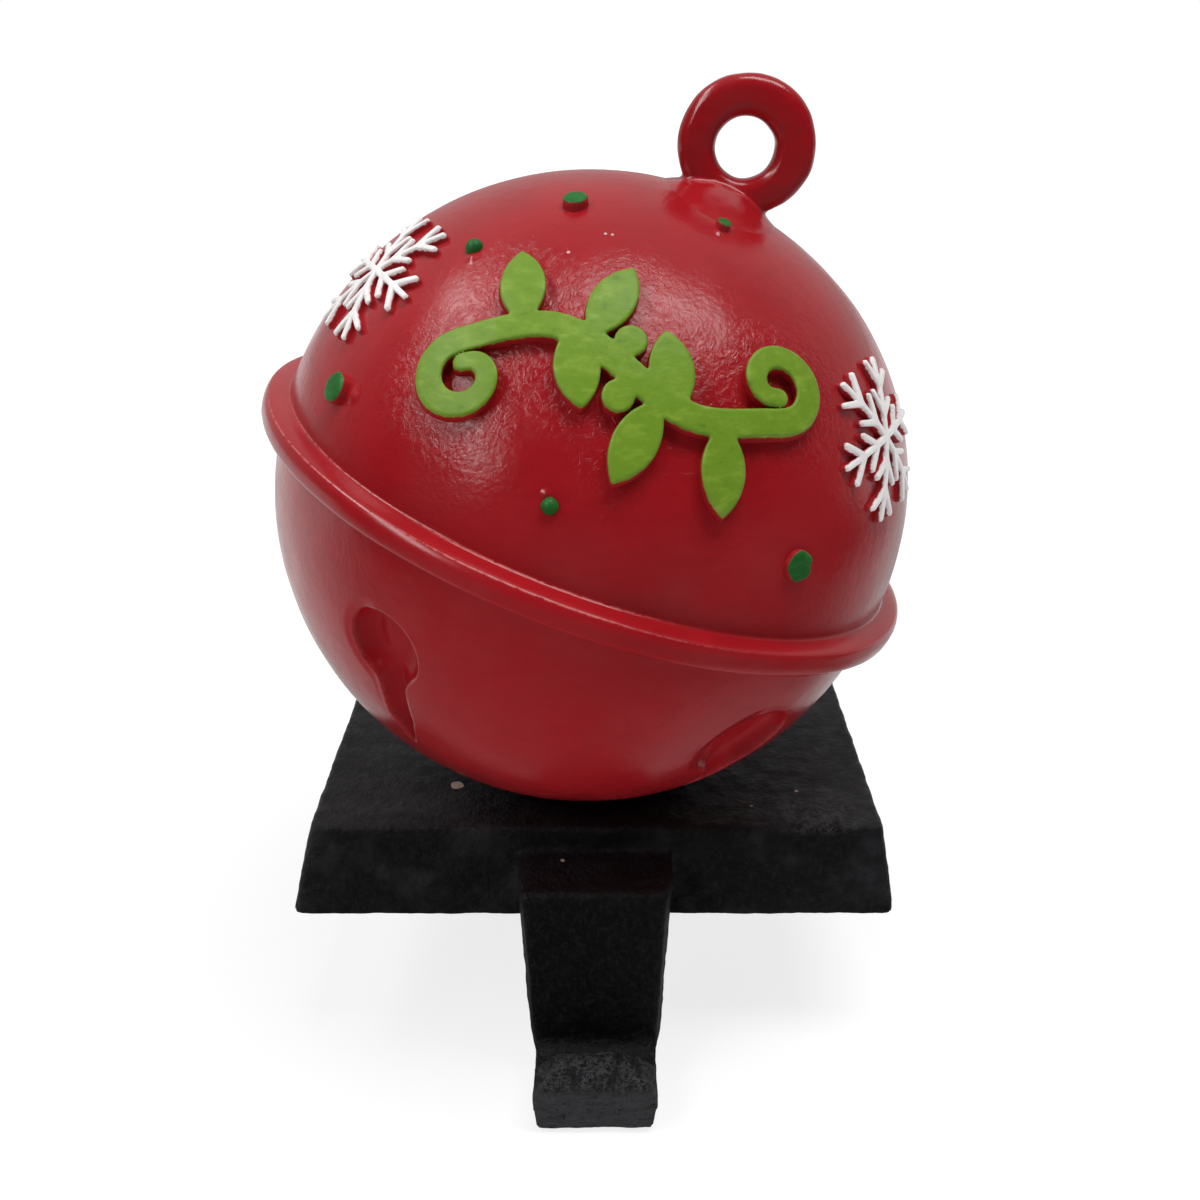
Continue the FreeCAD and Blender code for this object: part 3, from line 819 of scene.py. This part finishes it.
def bell_body():
    """The two halves with the rim band and the keyhole recesses, flat where it sits on the base."""
    longitudes = bell_columns()
    rows = ball_rows(UPPER_ROWS, 0.0) + RIM_SECTION + ball_rows(LOWER_ROWS, LOWER_DROP)
    columns = len(longitudes)
    circle = np.column_stack([np.sin(longitudes), -np.cos(longitudes)])
    grid = []
    wear_and_highlight = []
    smooth = []
    for radius, height, *line in rows:
        grid.append(np.column_stack([radius * circle, np.full(columns, height)]))
        # Thin pale lines along the rim: wear and painted highlight
        wear_and_highlight.append(line_wear_and_highlight(line, longitudes))
        smooth.append(np.full(columns, SMOOTHED if radius > BALL_R + 0.2 else 0.0))
    points = np.concatenate(grid)
    wear_and_highlight = np.concatenate([*wear_and_highlight, [0.0, 0.0]])
    smooth = np.concatenate([*smooth, [0.0, 0.0]])
    outward = points / np.linalg.norm(points, axis=1)[:, None]
    swell = lumps(points, 13.0, 3) * BELL_LUMP + lumps(points, 4.2, 8) * BELL_LUMP * 0.3
    poles = [[0.0, 0.0, BALL_R], [0.0, 0.0, -BALL_R - LOWER_DROP]]
    points = np.concatenate([points + outward * swell[:, None], poles])
    recess = np.zeros(len(points))
    for keyhole in KEYHOLES:
        press_keyhole(points, wear_and_highlight, recess, *keyhole)
    flat = points @ turn_matrix(*SPRIG_PLACE)
    beside = np.where(flat[:, 2] > 20.0, sprig_distance(flat[:, 0], flat[:, 1]), 99.0)
    faces = []
    for row in range(len(rows) - 1):
        faces += band(row * columns, (row + 1) * columns, columns)
    top, bottom = len(points) - 2, len(points) - 1
    last = (len(rows) - 1) * columns
    for column in range(columns):
        ahead = (column + 1) % columns
        faces.append([top, column, ahead])
        faces.append([bottom, last + ahead, last + column])
    placed = to_world(points)
    placed[:, 2] = np.maximum(placed[:, 2], SEAT_Z * MM)
    piece = mesh_object("bell_body", placed, faces, red)
    add_attribute(piece, "edge", wear_and_highlight)
    add_attribute(piece, "smooth", smooth)
    add_attribute(piece, "recess", recess)
    add_attribute(piece, "brushed", smooth_step(RIPPLES_END, RIPPLES_FULL, beside))
    return piece


# Loop and collar

def rounded_section(half_width, half_depth, radius, steps=6):
    """Closed rounded rectangle as (across, along) points."""
    points = []
    for corner in range(4):
        side_x = 1 if corner in (0, 3) else -1
        side_y = 1 if corner in (0, 1) else -1
        for step in range(steps + 1):
            angle = math.radians(90 * corner + 90 * step / steps)
            x = side_x * (half_width - radius) + radius * math.cos(angle)
            y = side_y * (half_depth - radius) + radius * math.sin(angle)
            points.append((x, y))
    return points


def loop_ring(count=120):
    """Ring of rounded rectangular section, a little uneven, in the loop's own frame."""
    points = []
    faces = []
    for index in range(count):
        angle = 2 * math.pi * index / count
        wobble = noise.noise(Vector((math.cos(angle) * 1.6, math.sin(angle) * 1.6, 4.0)))
        outer = LOOP_OUTER_R + 0.1 * math.cos(2 * angle)
        inner = LOOP_HOLE_R - LOOP_HOLE_DROP * math.sin(angle)
        section = rounded_section((outer - inner) / 2 + 0.16 * wobble, LOOP_DEPTH / 2, LOOP_ROUND)
        for across, along in section:
            reach = (outer + inner) / 2 + across
            x, y, z = reach * math.cos(angle), along, reach * math.sin(angle)
            turned_x = x * math.cos(LOOP_TURN) - y * math.sin(LOOP_TURN)
            turned_y = x * math.sin(LOOP_TURN) + y * math.cos(LOOP_TURN)
            points.append((turned_x, turned_y, z + LOOP_HEIGHT))
    per = len(section)
    for index in range(count):
        here, ahead = index * per, (index + 1) % count * per
        for step in range(per):
            after = (step + 1) % per
            faces.append([here + step, here + after, ahead + after, ahead + step])
    return points, faces


def collar_rise(share):
    """Height of the collar over the ball, at a share of the way from its middle to its foot."""
    return COLLAR_RISE * (1 - np.maximum(share - COLLAR_CREST, 0.0) / (1 - COLLAR_CREST))


def collar_mound(count=96, rings=18, last_share=1.2):
    """Oval cone that the loop grows out of, closed underneath; it sinks into the ball at its foot."""
    points = [(0.0, 0.0, BALL_R + COLLAR_RISE)]
    faces = []
    for ring in range(1, rings + 1):
        share = last_share * ring / rings
        for index in range(count):
            angle = 2 * math.pi * index / count
            reach = COLLAR_FRONT if math.sin(angle) < 0 else COLLAR_BACK
            x = share * COLLAR_SIDE * math.cos(angle)
            y = share * reach * math.sin(angle)
            points.append((x, y, math.sqrt((BALL_R + collar_rise(share)) ** 2 - x * x - y * y)))
    deep = len(points)
    for index in range(count):
        x, y, z = points[deep - count + index]
        points.append((x * 0.9, y * 0.9, z - 4.0))
    points.append((0.0, 0.0, BALL_R - 4.0))
    for index in range(count):
        ahead = (index + 1) % count
        faces.append([0, 1 + index, 1 + ahead])
        for ring in range(rings):
            a, b = 1 + ring * count + index, 1 + ring * count + ahead
            faces.append([a, a + count, b + count, b])
        faces.append([len(points) - 1, deep + ahead, deep + index])
    return points, faces


def applied(piece):
    """The piece's mesh with its modifiers applied."""
    graph = bpy.context.evaluated_depsgraph_get()
    mesh = bpy.data.meshes.new_from_object(piece.evaluated_get(graph))
    old = piece.data
    piece.modifiers.clear()
    piece.data = mesh
    bpy.data.meshes.remove(old)
    mesh.shade_smooth()


def remesh(piece, size, smoothing):
    """One closed skin of small even faces, smoothed."""
    voxels = piece.modifiers.new("skin", "REMESH")
    voxels.mode = "VOXEL"
    voxels.voxel_size = size * MM
    soft = piece.modifiers.new("soften", "SMOOTH")
    soft.factor = 0.5
    soft.iterations = smoothing
    applied(piece)


def skin_of(piece):
    """Vertices of a piece in millimetres and their normals."""
    rows = []
    for field in ("co", "normal"):
        flat = np.empty(len(piece.data.vertices) * 3)
        piece.data.vertices.foreach_get(field, flat)
        rows.append(flat.reshape(-1, 3))
    return rows[0] / MM, rows[1]


def move_points(piece, points):
    """Puts the vertices at points in millimetres."""
    piece.data.vertices.foreach_set("co", (points * MM).ravel())
    piece.data.update()


def loop_crease(points):
    """Line of wear and painted highlight where the ring meets the front of the collar, for points of the
    loop's own frame.
    """
    x, y, z = points.T
    ring_y = -x * math.sin(LOOP_TURN) + y * math.cos(LOOP_TURN)
    ring_x = x * math.cos(LOOP_TURN) + y * math.sin(LOOP_TURN)
    off_ring = np.hypot(ring_x, z - LOOP_HEIGHT) - LOOP_OUTER_R
    off_ring = np.maximum(off_ring, np.abs(ring_y) - LOOP_DEPTH / 2)
    share = np.hypot(x / COLLAR_SIDE, y / COLLAR_FRONT)
    off_collar = np.linalg.norm(points, axis=1) - BALL_R - collar_rise(share)
    away = np.maximum(np.abs(off_ring - CREASE_OFF), np.abs(off_collar - CREASE_OFF))
    return np.where(y < 0, np.exp(-(away / CREASE_WIDTH) ** 2), 0.0)


def bell_loop():
    """Loop and collar as one smooth casting."""
    axes = turn_matrix(90, 90 - math.degrees(LOOP_OFF_AXIS), -90)
    ring_points, ring_faces = loop_ring()
    mound_points, mound_faces = collar_mound()
    offset = len(ring_points)
    points = np.array(ring_points + mound_points) @ axes.T
    faces = ring_faces + [[index + offset for index in face] for face in mound_faces]
    piece = mesh_object("bell_loop", to_world(points), faces, red)
    remesh(piece, LOOP_SKIN, 5)
    skin, normals = skin_of(piece)
    skin = skin + normals * (lumps(skin, 3.5, 11) * LOOP_LUMP)[:, None]
    move_points(piece, skin)
    bell_frame = (skin - np.array(BALL)) @ np.array(TO_WORLD.to_3x3())
    add_attribute(piece, "edge", LOOP_WEAR_AND_HIGHLIGHT * loop_crease(bell_frame @ axes))
    add_attribute(piece, "smooth", np.full(len(skin), SMOOTHED))


# Raised ornaments on the bell

def ornament(name, distance, place, material, slot, rise, **relief):
    """One raised ornament, wrapped on the ball."""
    rows, faces = relief_mesh(distance, rise=rise, **relief)
    points = to_world(on_ball(rows, turn_matrix(*place)))
    piece = mesh_object(name, points, faces, material)
    add_attribute(piece, "height", rows[:, 2] / rise)


def dot_section(radius, rise):
    """Flat-topped post as (reach, height, painted share) from its middle to its foot."""
    return [
        (0.0, rise, 1.0), (0.5 * radius, rise, 1.0), (radius - 0.42, 0.985 * rise, 1.0),
        (radius - 0.18, 0.94 * rise, 0.9), (radius - 0.04, 0.82 * rise, 0.75), (radius, 0.6 * rise, 0.5),
        (radius + 0.02, 0.25 * rise, 0.2), (radius + 0.10, 0.0, 0.0), (radius + 0.14, -0.4, 0.0),
    ]


def bead_section(radius, rise):
    """Round bead, painted down to its foot, as (reach, height, painted share)."""
    section = []
    for degrees in range(0, 121, 10):
        angle = math.radians(degrees)
        section.append((radius * math.sin(angle), rise - radius + radius * math.cos(angle), 1.0))
    return [row for row in section if row[1] > -0.4]


def blob_section(radius, rise):
    """Low soft mound as (reach, height, painted share)."""
    section = []
    for step in range(9):
        share = step / 8
        section.append((radius * share, rise * (1 + math.cos(math.pi * share)) / 2 - 0.04 * share, 0.0))
    return section


def stud_outline(number, around):
    """Uneven circle of radius 1 with the bite, if it is the bitten one, as (x, y) points."""
    points = []
    for index in range(around):
        angle = 2 * math.pi * index / around
        x, y = math.cos(angle), math.sin(angle)
        reach = 1 + 0.07 * noise.noise(Vector((1.4 * x, 1.4 * y, 3.0 * number)))
        if number == BITTEN_DOT:
            off_bite = (math.degrees(angle) - BITE_DIRECTION + 180) % 360 - 180
            reach -= BITE_SHARE * math.exp(-(off_bite / BITE_SPREAD) ** 2)
        points.append((reach * x, reach * y))
    return points


def studs(name, shapes, material, around=40):
    """Small round shapes that stand out of the bell, each a place and the function of its section."""
    points = []
    heights = []
    faces = []
    for number, ((lon, lat, radius, rise), section_of) in enumerate(shapes):
        section = section_of(radius, rise)
        outline = stud_outline(number, around)
        rows = []
        for reach, height, painted in section:
            rows += [(reach * x, reach * y, height) for x, y in outline]
            heights += [painted] * around
        rows = np.array(rows)
        first = len(heights) - len(rows)
        points.append(on_ball(rows, turn_matrix(lon, lat)))
        for start in range(first, len(heights) - around, around):
            faces += band(start, start + around, around)
    piece = mesh_object(name, to_world(np.concatenate(points)), faces, material)
    add_attribute(piece, "height", heights)
    merge = piece.modifiers.new("merge", "WELD")
    merge.merge_threshold = 0.01 * MM
    applied(piece)


# Iron casting

IRON_SKIN = 0.55

# Where the skin stays true: round the bell's seat, and on the slab's underside behind the strap
SEAT_R = 13.0
BEHIND_STRAP_Y = -42.0

# Place of the hook's lip: its back face and the height of its crown
LIP_BACK_Y = BASE_LOW.y + 7.0
LIP_TOP_Z = BASE_LOW.z + 12.9

# Scuffed corner of the slab, whose bright crests are also painted glints: place, full and outer reach,
# strength
SCUFF_GLINT_X = 40.0
SCUFF_GLINT_Y = -34.5
SCUFF_GLINT_INNER = 3.0
SCUFF_GLINT_OUTER = 11.0
SCUFF_GLINT_SHARE = 0.85


def iron_casting():
    """Slab, strap and hook: the frame's solid with the uneven skin of a sand casting."""
    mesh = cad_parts["base_and_hook"].data.copy()
    mesh.materials.clear()
    mesh.materials.append(iron)
    piece = new_object("iron_base_and_hook", mesh)
    remesh(piece, IRON_SKIN, 1)
    points, normals = skin_of(piece)
    x, y, z = points.T
    swell = 0.16 * lumps(points, 9.0, 21) + 0.12 * lumps(points, 2.6, 22, 3)
    flat_seat = (z > SEAT_Z - 0.5) & (np.hypot(x - BALL_X, y - BALL_Y) < SEAT_R)
    pad_side = (normals[:, 2] < -0.9) & (z < PAD_HIGH.z + 0.3) & (y > BEHIND_STRAP_Y)
    swell[flat_seat | pad_side] = 0.0
    swell[z < BASE_LOW.z + 0.2] *= 0.6
    # Broken crown of the lip, which the paint shows as bright crests that are also painted glints
    lip = smooth_step(LIP_BACK_Y + 0.5, LIP_BACK_Y - 1.0, y)
    crown = smooth_step(LIP_TOP_Z - 6.8, LIP_TOP_Z - 4.0, z + 0.25 * (y - LIP_BACK_Y))
    broken = lip * crown
    swell += 0.30 * broken * lumps(points, 1.5, 31, 3)
    move_points(piece, points + normals * swell[:, None])
    # Scuffed corner whose bright crests are also painted glints
    scuff_and_glint = smooth_step(SCUFF_GLINT_OUTER, SCUFF_GLINT_INNER, np.hypot(x - SCUFF_GLINT_X, y - SCUFF_GLINT_Y))
    scuff_and_glint *= SCUFF_GLINT_SHARE * smooth_step(SEAT_Z - 1.5, SEAT_Z - 0.5, z)
    add_attribute(piece, "broken", np.maximum(broken, scuff_and_glint))
    add_attribute(piece, "dusty", smooth_step(BASE_LOW.y + 14.0, BASE_LOW.y + 24.0, y))
    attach(piece, BODY)
    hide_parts("base_and_hook")


# The object

body = bell_body()
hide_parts("jingle_bell")
bell_loop()
ornament("bell_sprig", sprig_distance, SPRIG_PLACE, lime, "lime_paint", SPRIG_RISE,
         reach=(30.5, 17.5), step=0.30, shoulder=0.26, wave=0.06, seed=5)
for side, flake_place in zip(("left", "right"), FLAKES):
    ornament("snowflake_" + side, flake_distance, flake_place, white, "white_paint", FLAKE_RISE,
             reach=(13.6, 13.6), step=0.17, shoulder=0.22, wave=0.05, seed=7)
round_shapes = [(place, dot_section) for place in DOTS] + [(place, bead_section) for place in BEADS]
studs("bell_dots", round_shapes, green)
studs("bell_paint_blobs", [(place, blob_section) for place in BLOBS], red)
iron_casting()

for node, material in (("mantel_pad", foam), ("bell_screw", steel)):
    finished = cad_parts[node]
    finished.data.materials.clear()
    finished.data.materials.append(material)


# Floor, light and camera

# The floor that the camera sees: its share of plain glow near the object, the distances in metres
# between which that share rises to 1, and the glow's level
FLOOR_WHITE = 0.70
FLOOR_NEAR = 0.12
FLOOR_FAR = 0.45
FLOOR_GLOW = 1.15

# The floor that gloss mirrors: its level in front and behind, and the depths in metres between
# which it changes. They are nearer by the slant at the left, and further at the right.
FLOOR_MIRRORED_FRONT = 0.01
FLOOR_MIRRORED_BACK = 0.95
FLOOR_FRONT_Y = -0.09
FLOOR_BACK_Y = 0.24
FLOOR_SLANT = 0.10
FLOOR_SLANT_REACH = 0.20

# Brighter places of the mirrored floor: x, y, inner and outer radius in metres, strength
FLOOR_PATCHES = [
    (0.065, -0.045, 0.02, 0.075, 0.30),
    (0.20, 0.075, 0.03, 0.16, 0.50),
    (0.095, 0.05, 0.015, 0.07, 0.45),
]

# Share and level of the floor's own light on the object
FLOOR_BOUNCE = 0.35
FLOOR_BOUNCE_GLOW = 1.85


def floor():
    """Plain white floor just under the hook."""
    half = 4.0
    z = (BASE_LOW.z - 0.3) * MM
    corners = [(-half, -half, z), (half, -half, z), (half, half, z), (-half, half, z)]
    mesh = bpy.data.meshes.new("floor")
    mesh.from_pydata(corners, [], [(0, 1, 2, 3)])
    piece = new_object("floor", mesh)
    material = bpy.data.materials.new("floor_white")
    tree = empty_tree(material)
    place = add(tree, "ShaderNodeTexCoord").outputs["Object"]
    away = add(tree, "ShaderNodeVectorMath", {0: place}, operation="LENGTH").outputs["Value"]
    path = add(tree, "ShaderNodeLightPath")
    seen = calculate("MAXIMUM", path.outputs["Is Camera Ray"], path.outputs["Is Transmission Ray"])
    mirrored = path.outputs["Is Glossy Ray"]
    bounced = path.outputs["Is Diffuse Ray"]
    reach, slant = FLOOR_SLANT_REACH, FLOOR_SLANT
    leftward = ramp(part_of(place, "X"), -reach, reach, slant, -slant)
    depth = calculate("ADD", part_of(place, "Y"), leftward)
    levels = (FLOOR_MIRRORED_FRONT, FLOOR_MIRRORED_BACK)
    mirror_level = ramp(depth, FLOOR_FRONT_Y, FLOOR_BACK_Y, *levels)
    for x, y, inner, outer, strength in FLOOR_PATCHES:
        off_patch = distance_to(place, (x, y, BASE_LOW.z * MM))
        patch = ramp(off_patch, inner, outer, strength, 0.0)
        mirror_level = calculate("ADD", mirror_level, patch)
    level = times(mirrored, mirror_level)
    level = calculate("ADD", level, times(seen, FLOOR_GLOW))
    level = calculate("ADD", level, times(bounced, FLOOR_BOUNCE_GLOW))
    share = times(seen, ramp(away, FLOOR_NEAR, FLOOR_FAR, FLOOR_WHITE, 1.0))
    share = calculate("MAXIMUM", share, mirrored)
    share = calculate("MAXIMUM", share, times(bounced, FLOOR_BOUNCE))
    matt = add(tree, "ShaderNodeBsdfDiffuse", {"Color": (0.80, 0.80, 0.80, 1.0)})
    glow = add(tree, "ShaderNodeEmission", {"Color": (1.0, 1.0, 1.0, 1.0), "Strength": level})
    mixed = add(tree, "ShaderNodeMixShader", {0: share, 1: matt.outputs[0], 2: glow.outputs[0]})
    add(tree, "ShaderNodeOutputMaterial", {"Surface": mixed.outputs[0]})
    mesh.materials.append(material)


# Level of the surroundings in front and behind, and the directions' depths where it changes
WORLD_FRONT = 0.015
WORLD_BACK = 0.44
WORLD_FRONT_Y = -0.20
WORLD_BACK_Y = 0.65


def world_light():
    """Pale surroundings, brighter behind the object than in front of it, and white to the camera."""
    world = bpy.data.worlds.new("surroundings")
    bpy.context.scene.world = world
    tree = empty_tree(world)
    direction = add(tree, "ShaderNodeTexCoord").outputs["Generated"]
    back = ramp(part_of(direction, "Y"), WORLD_FRONT_Y, WORLD_BACK_Y, WORLD_FRONT, WORLD_BACK)
    path = add(tree, "ShaderNodeLightPath")
    surroundings = add(tree, "ShaderNodeBackground", {"Color": (1.0, 1.0, 1.0, 1.0), "Strength": back})
    seen = add(tree, "ShaderNodeBackground", {"Color": (1.0, 1.0, 1.0, 1.0), "Strength": 1.0})
    inputs = {0: path.outputs["Is Camera Ray"], 1: surroundings.outputs[0], 2: seen.outputs[0]}
    mixed = add(tree, "ShaderNodeMixShader", inputs)
    add(tree, "ShaderNodeOutputWorld", {"Surface": mixed.outputs[0]})


def panel(name, direction, along, distance, size, power, mirrored=True):
    """Soft lamp that faces the bell from a direction, its long side along another."""
    lamp = bpy.data.lights.new(name, "AREA")
    lamp.shape = "RECTANGLE"
    lamp.size, lamp.size_y = (value * MM for value in size)
    lamp.energy = power
    piece = new_object(name, lamp)
    towards = Vector(direction).normalized()
    across = Vector(along).cross(towards).normalized()
    piece.location = (BALL + towards * distance) * MM
    piece.rotation_euler = Matrix((across, towards.cross(across), towards)).transposed().to_euler()
    piece.visible_glossy = mirrored


CAMERA_FROM_BALL = Vector((1.98, -215.36, 75.02))
CAMERA_DOWN = math.radians(24.25)
CAMERA_LENS = 37.5
CAMERA_SENSOR = 36.0


def camera():
    """Camera close in front, looking down at the photograph's angle."""
    lens = bpy.data.cameras.new("camera")
    lens.lens = CAMERA_LENS
    lens.sensor_width = CAMERA_SENSOR
    lens.clip_start = 0.01
    piece = new_object("camera", lens)
    piece.location = (BALL + CAMERA_FROM_BALL) * MM
    piece.rotation_euler = (math.pi / 2 - CAMERA_DOWN, 0.0, 0.0)
    bpy.context.scene.camera = piece


# Lamps as direction from the bell, direction of the long side, distance, width and length
LEFT = ((-0.628, -0.281, 0.727), (0.14, 0.94, 0.42), 900, (160, 1150))
RIGHT = ((0.24, -0.13, 0.95), (1.0, 0.0, -0.25), 900, (300, 620))
LEFT_POWER = 4.9
RIGHT_POWER = 3.9
RIGHT_FILL_POWER = 3.8

floor()
world_light()
panel("left_panel", *LEFT, LEFT_POWER)
panel("right_panel", *RIGHT, RIGHT_POWER)
panel("right_fill", *RIGHT, RIGHT_FILL_POWER, mirrored=False)
camera()
bpy.context.scene.view_settings.view_transform = "Standard"
